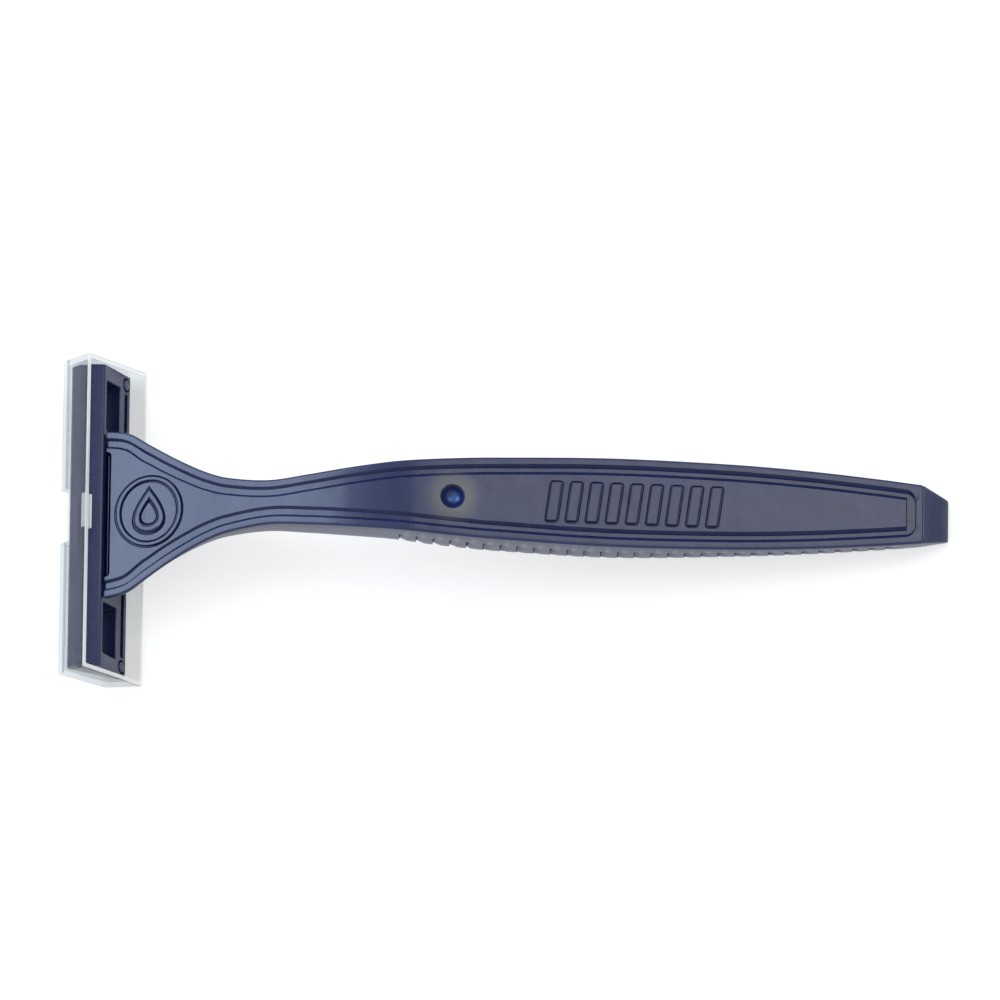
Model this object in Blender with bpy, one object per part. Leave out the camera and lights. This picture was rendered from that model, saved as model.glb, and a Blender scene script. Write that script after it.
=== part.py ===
"""Twin-blade razor with a fixed head and a clear pull-off blade guard.

Everything is drawn in the razor's own frame, in millimetres: x runs from the
head to the tail, y across, z up from the level of the guard's top edge. An empty
then lays the razor down, so that it rests on the guard's lower edge and the flat
under its tail, at world z = 0.
"""
import bpy
import bmesh
from math import cos, pi, radians, sin, tan
from mathutils import Vector

MM = 0.001

# Lying pose
LYING_ANGLE = radians(5.36)         # tail-down turn that brings keel and tail level

# Blade guard, outer corners of its section (x, z)
GUARD_RIDGE = (-0.30, 0.0)
GUARD_BROW = (-3.75, -4.56)
GUARD_KEEL = (2.40, -11.30)
GUARD_HEEL = (7.40, -10.24)
GUARD_WALL = 0.60
GUARD_HEEL_WALL = 0.40              # the lower leg thins towards its free edge
GUARD_HALF_LENGTH = 21.35
GUARD_END_WALL = 0.60
CLIP_WINDOW_HALF = 3.65
CLIP_WINDOW_DEPTH = 2.40            # reach of the window over the top leg
CLIP_WINDOW_DROP = 1.55             # reach of the window down the front wall
CATCH_HALF = 2.30
CATCH_DEPTH = 0.72
CATCH_START = 0.35
CATCH_LENGTH = 1.40
CATCH_TIP = 0.35
CUT_MARGIN = 1.0

# Head, measured down its back face (u) and forwards from it (v)
HEAD_TOP_BACK = (1.88, -2.76)       # top edge of the seat's back face
HEAD_LEAN = radians(25.8)           # back face from the vertical
HEAD_HALF = 20.5
SEAT_DEPTH = 7.65
SEAT_THICK = 2.20
LAYER_GAP = 0.10
BLADE_THICK = 0.10
SPACER_THICK = 0.40
SHAVE_AT_TOP = 4.78                 # shaving plane: v = this - slope * u
SHAVE_SLOPE = 0.395
BLADE_HALF = 18.5
BLADE_BACK = -0.60
BLADE_GRIND = 0.55
WINDOW_SPAN = (0.70, 4.65)          # rinse windows, along u
WINDOW_REACH = (12.3, 18.5)         # and along y
SLOT_SPAN = (5.95, 6.85)            # long rinse slot under the lower edge
SLOT_HALF = 17.9
END_LEDGE = 18.70                   # the seat steps down outside this
END_LEDGE_LEVEL = 1.30
LEDGE_TOP = 0.40
ARM_CLEARANCE = 0.15
ARM_END = 7.20
CAP_HALF = 20.4
CAP_LIP = 3.10
CROWN_START = 0.90
CROWN_CENTRE = (0.10, 3.80)
CROWN_RADIUS = 0.95
CROWN_FIRST = radians(68)
CROWN_LAST = radians(155)
CROWN_STEPS = 5
FLANGE_TOP = (-1.38, 2.86)          # the cap's back wall runs up to here
FLANGE_BACK = (-1.11, 2.30)         # and over the blades to the seat
FLANGE_INNER = -0.70
PIN_Y = 19.2
PIN_U = 6.40
PIN_RADIUS = 0.45
PIN_HEAD_RADIUS = 0.70
PIN_CLEARANCE = 0.30
PIN_HEAD_DEPTH = 0.25
PIN_HEAD_PROUD = 0.10
COUNTERBORE_DEPTH = 0.55
THROUGH = 4.2                       # past the front of the whole blade stack
STEP = 0.01                         # a shoulder in a turned profile
LOCATOR_Y = 6.0
LOCATOR_U = 1.60
LOCATOR_RADIUS = 0.60
LOCATOR_END = 0.90

# Handle stations: x, half width, top, thickness, upright part of the side
HANDLE_STATIONS = [
    (0.00, 11.40, -3.50, 4.50, 0.60),
    (2.70, 11.32, -2.52, 5.48, 0.60),
    (5.30, 10.74, -1.52, 6.08, 0.60),
    (7.95, 9.04, -0.50, 4.60, 0.66),
    (10.55, 7.38, 0.50, 3.40, 0.70),
    (13.20, 5.86, 1.40, 2.80, 1.05),
    (15.80, 4.58, 2.25, 2.95, 1.65),
    (18.40, 3.72, 3.10, 3.40, 2.15),
    (23.70, 3.02, 4.88, 4.40, 3.30),
    (28.90, 3.42, 6.62, 5.20, 3.90),
    (34.20, 4.00, 8.20, 5.80, 4.30),
    (39.40, 4.54, 9.30, 6.35, 4.50),
    (42.00, 4.77, 9.45, 6.80, 4.80),
    (44.70, 5.00, 9.22, 7.20, 5.10),
    (52.50, 5.50, 8.49, 7.60, 5.30),
    (68.30, 6.00, 7.02, 7.00, 5.00),
    (84.00, 5.77, 5.55, 6.00, 3.25),
    (94.50, 5.24, 4.57, 5.45, 2.45),
    (104.00, 4.44, 3.68, 5.02, 1.85),
    (108.60, 3.95, 3.25, 4.59, 1.57),
]
TAIL_EDGE = (109.60, 3.84, 3.15)    # x, half width, top where the tail slopes off
TAIL_TIP = (113.00, 2.60, 0.10)
STATION_STEP = 2.0
SIDE_FLARE = 0.06                   # tall sides widen downwards
FLARE_FROM = 1.9                    # below this height of side they narrow instead
FAN_BELLY_SPAN = (9.0, 18.0)        # the fan's underside tapers like a wedge before this
FAN_BELLY_POWER = 1.8
UNDERSIDE_FLAT = 0.45               # flat share of the underside's half width
CORNER_STEPS = 3

RAIL_WIDTH = 1.00
CHANNEL_WIDTH = 1.35
CHANNEL_DEPTH = 0.35
CHANNEL_SLANT = 0.08                # lean of the channel's two walls
CHANNEL_SINK = 0.02                 # least depth, so that its walls never vanish
EDGE_CHAMFER = 0.25
CHANNEL_SPAN = (4.6, 107.6)
CHANNEL_FADE = 1.2

RIB_PITCH = 2.20
RIB_COUNT = 29
RIB_START = 42.0
RIB_DEPTH = 0.45

DIMPLE_X = 47.9
DIMPLE_RADIUS = 1.55
SLIT_HALF = 8.5
SLIT_LENGTH = 0.95
SLIT_DEPTH = 1.6

TENON_HALF = 7.5
TENON_SPAN = (2.2, 4.2)
TENON_DEPTH = 0.9
JOIN_GAP = 0.30

ROUND_SIDES = 20


# ---------------------------------------------------------------- geometry

def stack_point(u, v):
    """Section point (x, z) that lies u down the seat's back face, v before it."""
    x = HEAD_TOP_BACK[0] + u * sin(HEAD_LEAN) - v * cos(HEAD_LEAN)
    z = HEAD_TOP_BACK[1] - u * cos(HEAD_LEAN) - v * sin(HEAD_LEAN)
    return (x, z)


def shave_level(u):
    return SHAVE_AT_TOP - SHAVE_SLOPE * u


def table_level(x):
    """Height of the table under the lying razor, in the razor's frame."""
    return GUARD_KEEL[1] + tan(LYING_ANGLE) * (x - GUARD_KEEL[0])


def lying(x, z):
    """Section point turned by the lying angle."""
    c = cos(LYING_ANGLE)
    s = sin(LYING_ANGLE)
    return (c * x + s * z, c * z - s * x)


def smooth_table(rows, x):
    """Row of values at x on a smooth curve through the rows."""
    last = len(rows) - 1
    i = 0
    while i < last - 1 and x > rows[i + 1][0]:
        i += 1
    x0 = rows[i][0]
    span = rows[i + 1][0] - x0
    t = (x - x0) / span
    values = []
    for k in range(1, len(rows[0])):
        slopes = []
        for j in (i, i + 1):
            before = rows[max(j - 1, 0)]
            after = rows[min(j + 1, last)]
            slopes.append((after[k] - before[k]) / (after[0] - before[0]))
        a = rows[i][k]
        b = rows[i + 1][k]
        values.append((2 * t ** 3 - 3 * t ** 2 + 1) * a
                      + (t ** 3 - 2 * t ** 2 + t) * span * slopes[0]
                      + (3 * t ** 2 - 2 * t ** 3) * b
                      + (t ** 3 - t ** 2) * span * slopes[1])
    return values


# ------------------------------------------------------------ object makers

def material(name, colour, roughness, metallic=0.0, alpha=1.0):
    made = bpy.data.materials.new(name)
    made.use_nodes = True
    shader = made.node_tree.nodes["Principled BSDF"]
    shader.inputs["Base Color"].default_value = (*colour, 1.0)
    shader.inputs["Roughness"].default_value = roughness
    shader.inputs["Metallic"].default_value = metallic
    shader.inputs["Alpha"].default_value = alpha
    made.diffuse_color = (*colour, alpha)
    return made


def add_object(name, mesh, parent, finish=None):
    made = bpy.data.objects.new(name, mesh)
    bpy.context.scene.collection.objects.link(made)
    made.parent = parent
    if finish:
        mesh.materials.append(finish)
    return made


def solid_from_rings(name, rings):
    """Closed mesh through equal rings of points (mm), with both ends filled."""
    bm = bmesh.new()
    rows = []
    for ring in rings:
        rows.append([bm.verts.new(Vector(point) * MM) for point in ring])
    count = len(rows[0])
    for first, second in zip(rows, rows[1:]):
        for i in range(count):
            j = (i + 1) % count
            bm.faces.new((first[i], first[j], second[j], second[i]))
    bm.faces.new(rows[0])
    bm.faces.new(rows[-1])
    bmesh.ops.recalc_face_normals(bm, faces=bm.faces)
    mesh = bpy.data.meshes.new(name)
    bm.to_mesh(mesh)
    bm.free()
    return mesh


def prism(name, outline, y_from, y_to):
    """Section outline (x, z) drawn out along y."""
    rings = []
    for y in (y_from, y_to):
        rings.append([(x, y, z) for x, z in outline])
    return solid_from_rings(name, rings)


def stack_prism(name, outline, y_from, y_to):
    """The same for an outline in head coordinates (u, v)."""
    return prism(name, [stack_point(u, v) for u, v in outline], y_from, y_to)


def box_outline(u_span, v_span):
    u0, u1 = u_span
    v0, v1 = v_span
    return [(u0, v0), (u1, v0), (u1, v1), (u0, v1)]


def stack_rod(name, u, y, profile):
    """Turned pin square to the blades: profile is (v, radius) from end to end."""
    rings = []
    for v, radius in profile:
        ring = []
        for i in range(ROUND_SIDES):
            angle = 2 * pi * i / ROUND_SIDES
            x, z = stack_point(u + radius * cos(angle), v)
            ring.append((x, y + radius * sin(angle), z))
        rings.append(ring)
    return solid_from_rings(name, rings)


def helper(name, mesh, parent):
    """Hidden tool object for a Boolean."""
    made = add_object(name, mesh, parent)
    made.display_type = "WIRE"
    made.hide_render = True
    return made


def combine(target, tool, operation):
    modifier = target.modifiers.new(tool.name, "BOOLEAN")
    modifier.object = tool
    modifier.operation = operation
    modifier.solver = "EXACT"


def smooth(target, degrees):
    target.data.shade_smooth()
    target.data.set_sharp_from_angle(angle=radians(degrees))


# ------------------------------------------------------------------- handle

def channel_depth(x):
    start, end = CHANNEL_SPAN
    ramp = min(x - start, end - x) / CHANNEL_FADE
    return CHANNEL_DEPTH * min(max(ramp, 0.0), 1.0)


def handle_ring(x, half, top, thick, side, groove=0.0):
    """Section of the handle at x: rail, channel, panel, drafted side, round belly."""
    dip = channel_depth(x)
    rail = half - RAIL_WIDTH
    panel = rail - CHANNEL_WIDTH
    belly_top = half + (side - FLARE_FROM) * SIDE_FLARE
    start, end = FAN_BELLY_SPAN
    share = min(max((end - x) / (end - start), 0.0), 1.0)
    power = 1.0 + (FAN_BELLY_POWER - 1.0) * share
    flat = UNDERSIDE_FLAT * half
    floor = top - dip - CHANNEL_SINK
    side_points = [
        (panel, top),
        (panel + CHANNEL_SLANT, floor),
        (rail - CHANNEL_SLANT, floor),
        (rail, top),
        (half - EDGE_CHAMFER, top),
        (half, top - EDGE_CHAMFER),
        (belly_top, top - side),
    ]
    for i in range(1, CORNER_STEPS + 1):
        angle = i / CORNER_STEPS * pi / 2
        reach = max(cos(angle), 0.0) ** power
        drop = sin(angle) ** power
        y = flat + (belly_top - flat) * reach
        z = top - side - (thick - side - groove) * drop
        side_points.append((y, z))
    right = [(x, y, z) for y, z in side_points]
    left = [(x, -y, z) for y, z in reversed(side_points)]
    return right + left


def handle_stations():
    """Values of x along the handle, with a crest and a root for every rib."""
    xs = []
    x = HANDLE_STATIONS[0][0]
    while x < RIB_START - RIB_PITCH / 2:
        xs.append((x, 0.0))
        x += STATION_STEP
    for i in range(RIB_COUNT):
        xs.append((RIB_START + i * RIB_PITCH, 0.0))
        xs.append((RIB_START + (i + 0.5) * RIB_PITCH, RIB_DEPTH))
    xs.append((RIB_START + RIB_COUNT * RIB_PITCH, 0.0))
    return xs


def handle_body():
    rings = []
    for x, groove in handle_stations():
        rings.append(handle_ring(x, *smooth_table(HANDLE_STATIONS, x), groove))
    x, half, top, thick, side = HANDLE_STATIONS[-1]
    rings.append(handle_ring(x, half, top, top - table_level(x), side))
    x, half, top = TAIL_EDGE
    rings.append(handle_ring(x, half, top, top - table_level(x), side))
    x, half, top = TAIL_TIP
    end_face = top - table_level(x)
    rings.append(handle_ring(x, half, top, end_face, end_face * 0.7))
    return solid_from_rings("handle", rings)


def make_handle(frame, finish):
    handle = add_object("handle", handle_body(), frame, finish)

    front = box_outline((-4.0, 12.0), (-JOIN_GAP, 9.0))
    reach = HEAD_HALF
    combine(handle, helper("head_side_trim", stack_prism("head_side_trim", front, -reach, reach),
                           frame), "DIFFERENCE")

    tenon = box_outline(TENON_SPAN, (-1.5, TENON_DEPTH - JOIN_GAP))
    combine(handle, helper("handle_tenon", stack_prism("handle_tenon", tenon,
                                                       -TENON_HALF, TENON_HALF),
                           frame), "UNION")

    x0, z0 = stack_point(0.0, -JOIN_GAP)
    slit = [(x0 - 1.0, z0 - SLIT_DEPTH), (x0 + SLIT_LENGTH, z0 - SLIT_DEPTH),
            (x0 + SLIT_LENGTH, z0 + 1.5), (x0 - 1.0, z0 + 1.5)]
    combine(handle, helper("front_slit", prism("front_slit", slit, -SLIT_HALF, SLIT_HALF),
                           frame), "DIFFERENCE")

    top = smooth_table(HANDLE_STATIONS, DIMPLE_X)[1]
    bm = bmesh.new()
    bmesh.ops.create_uvsphere(bm, u_segments=16, v_segments=10, radius=DIMPLE_RADIUS * MM)
    ball = bpy.data.meshes.new("gate_dimple")
    bm.to_mesh(ball)
    bm.free()
    dimple = helper("gate_dimple", ball, frame)
    dimple.location = Vector((DIMPLE_X, 0.0, top)) * MM
    combine(handle, dimple, "DIFFERENCE")
    smooth(handle, 30)
    return handle


# --------------------------------------------------------------------- head

def seat_outline():
    return [
        (0.0, 0.0),
        (SEAT_DEPTH, 0.0),
        (SEAT_DEPTH - 0.40, 1.70),
        (SLOT_SPAN[1], 1.95),
        (SLOT_SPAN[1] - 0.05, 1.70),
        (SLOT_SPAN[0] - 0.15, 1.70),
        (SLOT_SPAN[0] - 0.45, SEAT_THICK),
        (-SEAT_THICK * tan(HEAD_LEAN), SEAT_THICK),
    ]


def make_seat(frame, finish):
    seat = add_object("blade_seat", stack_prism("blade_seat", seat_outline(),
                                                -HEAD_HALF, HEAD_HALF), frame, finish)
    cuts = []
    for side, tag in ((-1, "right"), (1, "left")):
        near = side * WINDOW_REACH[0]
        far = side * WINDOW_REACH[1]
        cuts.append(("window_" + tag, box_outline(WINDOW_SPAN, (-CUT_MARGIN, THROUGH)), near, far))
        ledge = box_outline((LEDGE_TOP, SEAT_DEPTH + CUT_MARGIN), (END_LEDGE_LEVEL, THROUGH))
        cuts.append(("ledge_" + tag, ledge, side * END_LEDGE, side * (HEAD_HALF + CUT_MARGIN)))
    cuts.append(("rinse_slot", box_outline(SLOT_SPAN, (-CUT_MARGIN, THROUGH)), -SLOT_HALF, SLOT_HALF))
    mortise = box_outline((TENON_SPAN[0] - JOIN_GAP, TENON_SPAN[1] + JOIN_GAP),
                          (-CUT_MARGIN, TENON_DEPTH))
    reach = TENON_HALF + JOIN_GAP
    cuts.append(("mortise", mortise, -reach, reach))
    for name, outline, y0, y1 in cuts:
        tool = helper(name, stack_prism(name, outline, y0, y1), frame)
        combine(seat, tool, "DIFFERENCE")

    bore = PIN_RADIUS + PIN_CLEARANCE
    counterbore = PIN_HEAD_RADIUS + PIN_CLEARANCE - 0.05
    for side, tag in ((-1, "right"), (1, "left")):
        name = "pin_bore_" + tag
        profile = [(-CUT_MARGIN, counterbore), (COUNTERBORE_DEPTH, counterbore),
                   (COUNTERBORE_DEPTH + STEP, bore), (THROUGH, bore)]
        combine(seat, helper(name, stack_rod(name, PIN_U, side * PIN_Y, profile), frame),
                "DIFFERENCE")
        name = "locator_bore_" + tag
        bore_wide = LOCATOR_RADIUS + PIN_CLEARANCE
        profile = [(LOCATOR_END - PIN_CLEARANCE, bore_wide), (THROUGH, bore_wide)]
        combine(seat, helper(name, stack_rod(name, LOCATOR_U, side * LOCATOR_Y, profile),
                             frame), "DIFFERENCE")
    smooth(seat, 30)
    return seat


def layer_levels():
    """Lower and upper v of the lower blade, spacer, upper blade and the cap's seat."""
    lower = SEAT_THICK + LAYER_GAP
    spacer = lower + BLADE_THICK + LAYER_GAP
    upper = spacer + SPACER_THICK + LAYER_GAP
    cap = upper + BLADE_THICK + LAYER_GAP
    return lower, spacer, upper, cap


def locator_holes(target, frame):
    for side, tag in ((-1, "right"), (1, "left")):
        name = target.name + "_hole_" + tag
        radius = LOCATOR_RADIUS + PIN_CLEARANCE
        rod = stack_rod(name, LOCATOR_U, side * LOCATOR_Y,
                        [(SEAT_THICK - CUT_MARGIN, radius), (THROUGH, radius)])
        combine(target, helper(name, rod, frame), "DIFFERENCE")


def make_blade(name, level, frame, finish):
    """Thin strip ground to a symmetric edge on the shaving plane."""
    middle = level + BLADE_THICK / 2
    edge = (SHAVE_AT_TOP - middle) / SHAVE_SLOPE
    outline = [
        (BLADE_BACK, level),
        (edge - BLADE_GRIND, level),
        (edge, middle),
        (edge - BLADE_GRIND, level + BLADE_THICK),
        (BLADE_BACK, level + BLADE_THICK),
    ]
    blade = add_object(name, stack_prism(name, outline, -BLADE_HALF, BLADE_HALF),
                       frame, finish)
    locator_holes(blade, frame)
    return blade


def make_spacer(level, upper_edge, frame, finish):
    outline = box_outline((BLADE_BACK, upper_edge - 0.7), (level, level + SPACER_THICK))
    spacer = add_object("blade_spacer", stack_prism("blade_spacer", outline,
                                                    -BLADE_HALF, BLADE_HALF), frame, finish)
    locator_holes(spacer, frame)
    return spacer


def cap_outline(level):
    """Crown of the cap, its thin lip, and the flange that covers the blades' backs."""
    points = [
        FLANGE_TOP,
        FLANGE_BACK,
        (FLANGE_INNER, FLANGE_BACK[1]),
        (FLANGE_INNER, level),
        (CAP_LIP, level),
        (CAP_LIP, shave_level(CAP_LIP)),
        (CROWN_START, shave_level(CROWN_START)),
    ]
    for i in range(CROWN_STEPS):
        angle = CROWN_FIRST + (CROWN_LAST - CROWN_FIRST) * i / (CROWN_STEPS - 1)
        points.append((CROWN_CENTRE[0] + CROWN_RADIUS * cos(angle),
                       CROWN_CENTRE[1] + CROWN_RADIUS * sin(angle)))
    return points


def make_cap(level, frame, finish):
    cap = add_object("blade_cap", stack_prism("blade_cap", cap_outline(level),
                                              -CAP_HALF, CAP_HALF), frame, finish)
    arm_level = END_LEDGE_LEVEL + ARM_CLEARANCE
    arm_top = LEDGE_TOP + ARM_CLEARANCE
    arm = [(arm_top, arm_level), (ARM_END, arm_level),
           (ARM_END, shave_level(ARM_END)), (arm_top, shave_level(arm_top))]
    for side, tag in ((-1, "right"), (1, "left")):
        inner = side * (END_LEDGE + ARM_CLEARANCE)
        outer = side * CAP_HALF
        name = "cap_arm_" + tag
        combine(cap, helper(name, stack_prism(name, arm, inner, outer), frame), "UNION")
        name = "cap_pin_" + tag
        profile = [(-PIN_HEAD_PROUD, PIN_HEAD_RADIUS * 0.8), (0.0, PIN_HEAD_RADIUS),
                   (PIN_HEAD_DEPTH, PIN_HEAD_RADIUS), (PIN_HEAD_DEPTH + STEP, PIN_RADIUS),
                   (arm_level + PIN_CLEARANCE, PIN_RADIUS)]
        pin = stack_rod(name, PIN_U, side * PIN_Y, profile)
        combine(cap, helper(name, pin, frame), "UNION")
        name = "cap_locator_" + tag
        profile = [(LOCATOR_END, LOCATOR_RADIUS), (level + PIN_CLEARANCE, LOCATOR_RADIUS)]
        pin = stack_rod(name, LOCATOR_U, side * LOCATOR_Y, profile)
        combine(cap, helper(name, pin, frame), "UNION")
    smooth(cap, 35)
    return cap


# -------------------------------------------------------------------- guard

def unit(start, end):
    dx = end[0] - start[0]
    dz = end[1] - start[1]
    length = (dx * dx + dz * dz) ** 0.5
    return (dx / length, dz / length)


def along(point, direction, distance):
    return (point[0] + direction[0] * distance, point[1] + direction[1] * distance)


def meet(p, d, q, e):
    """Where the line p + s d crosses the line q + t e."""
    det = d[0] * -e[1] + e[0] * d[1]
    s = ((q[0] - p[0]) * -e[1] + e[0] * (q[1] - p[1])) / det
    return along(p, d, s)


def guard_hollow():
    """Section of the space inside the guard, open past its two free edges."""
    down_leg = unit(GUARD_RIDGE, GUARD_BROW)
    down_front = unit(GUARD_BROW, GUARD_KEEL)
    inward_top = (-down_leg[1], down_leg[0])
    inward_front = (-down_front[1], down_front[0])
    top = along(GUARD_RIDGE, inward_top, GUARD_WALL)
    front = along(GUARD_BROW, inward_front, GUARD_WALL)
    out_leg = unit(GUARD_KEEL, GUARD_HEEL)
    inward_low = (-out_leg[1], out_leg[0])
    low_start = along(GUARD_KEEL, inward_low, GUARD_WALL)
    low_end = along(GUARD_HEEL, inward_low, GUARD_HEEL_WALL)
    low = unit(low_start, low_end)
    brow = meet(top, down_leg, front, down_front)
    keel = meet(front, down_front, low_start, low)
    return [along(top, down_leg, -5.0), brow, keel, along(low_end, low, 5.0), (14.0, 4.0)]


def make_guard(frame, finish):
    outline = [GUARD_RIDGE, GUARD_BROW, GUARD_KEEL, GUARD_HEEL]
    pivot = bpy.data.objects.new("guard_slide", None)
    bpy.context.scene.collection.objects.link(pivot)
    pivot.parent = frame
    guard = add_object("blade_guard", prism("blade_guard", outline, -GUARD_HALF_LENGTH,
                                            GUARD_HALF_LENGTH), pivot, finish)
    half = GUARD_HALF_LENGTH - GUARD_END_WALL
    combine(guard, helper("guard_hollow", prism("guard_hollow", guard_hollow(), -half, half),
                          pivot), "DIFFERENCE")

    leg = unit(GUARD_RIDGE, GUARD_BROW)
    inward = (-leg[1], leg[0])
    start = along(along(GUARD_RIDGE, leg, CATCH_START), inward, GUARD_WALL / 2)
    stop = along(start, leg, CATCH_LENGTH)
    catch = [
        start,
        stop,
        along(stop, inward, GUARD_WALL / 2 + CATCH_DEPTH * 0.55),
        along(along(start, leg, CATCH_TIP), inward, GUARD_WALL / 2 + CATCH_DEPTH),
        along(start, inward, GUARD_WALL / 2 + CATCH_DEPTH),
    ]
    combine(guard, helper("clip_catch", prism("clip_catch", catch, -CATCH_HALF, CATCH_HALF),
                          pivot), "UNION")

    front = unit(GUARD_BROW, GUARD_KEEL)
    leg_end = along(along(GUARD_BROW, leg, -CLIP_WINDOW_DEPTH), inward, -CUT_MARGIN)
    front_end = along(along(GUARD_BROW, front, CLIP_WINDOW_DROP), leg, -2 * GUARD_WALL)
    window = [
        leg_end,
        along(leg_end, inward, CUT_MARGIN + 2 * GUARD_WALL),
        front_end,
        along(front_end, leg, 2 * GUARD_WALL + CUT_MARGIN),
        along(along(GUARD_BROW, leg, CUT_MARGIN), inward, -CUT_MARGIN),
    ]
    combine(guard, helper("clip_window", prism("clip_window", window, -CLIP_WINDOW_HALF,
                                               CLIP_WINDOW_HALF), pivot), "DIFFERENCE")
    return guard


# --------------------------------------------------------------------- main

def main():
    for old in list(bpy.data.objects):
        bpy.data.objects.remove(old, do_unlink=True)

    front_x = lying(*GUARD_BROW)[0]
    tail_x = lying(TAIL_TIP[0], TAIL_TIP[2])[0]
    frame = bpy.data.objects.new("razor_frame", None)
    bpy.context.scene.collection.objects.link(frame)
    frame.rotation_euler = (0.0, LYING_ANGLE, 0.0)
    frame.location = Vector((-(front_x + tail_x) / 2, 0.0, -lying(*GUARD_KEEL)[1])) * MM

    navy = (0.020, 0.030, 0.090)
    handle_plastic = material("handle_plastic", navy, 0.32)
    seat_plastic = material("seat_plastic", (0.022, 0.028, 0.080), 0.38)
    cap_plastic = material("cap_plastic", (0.022, 0.032, 0.090), 0.34)
    spacer_plastic = material("spacer_plastic", (0.030, 0.030, 0.036), 0.45)
    blade_steel = material("blade_steel", (0.62, 0.63, 0.65), 0.25, 1.0)
    guard_clear = material("guard_clear", (0.92, 0.94, 0.95), 0.06, 0.0, 0.25)

    lower, spacer, upper, cap = layer_levels()
    upper_edge = (SHAVE_AT_TOP - upper - BLADE_THICK / 2) / SHAVE_SLOPE
    make_handle(frame, handle_plastic)
    make_seat(frame, seat_plastic)
    make_blade("lower_blade", lower, frame, blade_steel)
    make_spacer(spacer, upper_edge, frame, spacer_plastic)
    make_blade("upper_blade", upper, frame, blade_steel)
    make_cap(cap, frame, cap_plastic)
    make_guard(frame, guard_clear)
    bpy.context.view_layer.update()


main()
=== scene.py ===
import bpy
import bmesh
from math import cos, pi, radians, sin, sqrt, tan
from mathutils import Matrix, Vector


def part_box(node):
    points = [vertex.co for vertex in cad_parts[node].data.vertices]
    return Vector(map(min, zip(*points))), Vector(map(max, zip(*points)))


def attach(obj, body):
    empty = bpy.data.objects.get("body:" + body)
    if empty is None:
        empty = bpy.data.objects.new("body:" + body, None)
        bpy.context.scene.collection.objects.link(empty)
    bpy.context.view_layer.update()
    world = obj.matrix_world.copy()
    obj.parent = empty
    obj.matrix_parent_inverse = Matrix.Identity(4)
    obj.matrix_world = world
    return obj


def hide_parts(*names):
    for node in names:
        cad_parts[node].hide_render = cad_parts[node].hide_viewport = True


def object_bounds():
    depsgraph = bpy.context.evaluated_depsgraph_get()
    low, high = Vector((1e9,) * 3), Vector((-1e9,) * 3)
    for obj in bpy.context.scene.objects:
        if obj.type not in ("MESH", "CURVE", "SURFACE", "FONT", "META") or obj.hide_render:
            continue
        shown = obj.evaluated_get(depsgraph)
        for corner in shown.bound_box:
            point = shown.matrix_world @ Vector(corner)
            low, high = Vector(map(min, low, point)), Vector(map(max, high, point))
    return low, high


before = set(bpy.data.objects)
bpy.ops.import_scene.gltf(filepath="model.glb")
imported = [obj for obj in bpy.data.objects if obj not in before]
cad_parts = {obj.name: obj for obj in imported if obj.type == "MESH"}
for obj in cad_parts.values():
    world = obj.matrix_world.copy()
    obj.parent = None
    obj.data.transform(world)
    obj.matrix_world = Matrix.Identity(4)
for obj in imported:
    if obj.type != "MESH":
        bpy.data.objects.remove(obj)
cadLow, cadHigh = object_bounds()
millimetre = 0.001
print("frame loaded")

# The razor is drawn in its own section frame, in millimetres: x from head to tail,
# y across, z out of the brand face. place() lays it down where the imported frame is.
lie = {
    "turn": radians(5.36),
    "brow": (-3.75, -4.56),      # foremost corner of the guard
    "keel": (2.40, -11.30),      # its lowest corner
}


def turned(x, z):
    c = cos(lie["turn"])
    s = sin(lie["turn"])
    return c * x + s * z, c * z - s * x


guardLow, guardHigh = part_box("blade_guard")
shiftX = guardLow.x - turned(*lie["brow"])[0] * millimetre
shiftZ = guardLow.z - turned(*lie["keel"])[1] * millimetre


def place(x, y, z):
    a, c = turned(x, z)
    return Vector((a * millimetre + shiftX, y * millimetre, c * millimetre + shiftZ))


# Values of the rows at x, on one smooth curve
def blendTable(rows, x):
    last = len(rows) - 1
    i = 0
    while i < last - 1 and x > rows[i + 1][0]:
        i += 1
    span = rows[i + 1][0] - rows[i][0]
    t = (x - rows[i][0]) / span
    values = []
    for k in range(1, len(rows[0])):
        slope = []
        for j in (i, i + 1):
            before = rows[max(j - 1, 0)]
            after = rows[min(j + 1, last)]
            slope.append((after[k] - before[k]) / (after[0] - before[0]))
        a = rows[i][k]
        b = rows[i + 1][k]
        values.append((2 * t ** 3 - 3 * t ** 2 + 1) * a + (3 * t ** 2 - 2 * t ** 3) * b
                      + ((t ** 3 - 2 * t ** 2 + t) * slope[0]
                         + (t ** 3 - t ** 2) * slope[1]) * span)
    return values


def easeStep(low, high, x):
    t = min(max((x - low) / (high - low), 0.0), 1.0)
    return t * t * (3 - 2 * t)


# Corner points of a closed outline, each one turned into an arc of its radius
def roundOff(corners, radii, steps=5):
    made = []
    count = len(corners)
    for i in range(count):
        here = Vector(corners[i])
        back = Vector(corners[i - 1]) - here
        ahead = Vector(corners[(i + 1) % count]) - here
        radius = radii[i] if isinstance(radii, (list, tuple)) else radii
        if radius <= 0:
            made.append(tuple(here))
            continue
        back.normalize()
        ahead.normalize()
        half = back.angle(ahead) / 2
        reach = radius / tan(half)
        centre = here + (back + ahead).normalized() * (radius / sin(half))
        start = here + back * reach - centre
        stop = here + ahead * reach - centre
        sweep = start.angle(stop)
        for k in range(steps + 1):
            t = k / steps
            point = (start * sin((1 - t) * sweep) + stop * sin(t * sweep)) / sin(sweep)
            made.append(tuple(centre + point))
    return made


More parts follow.
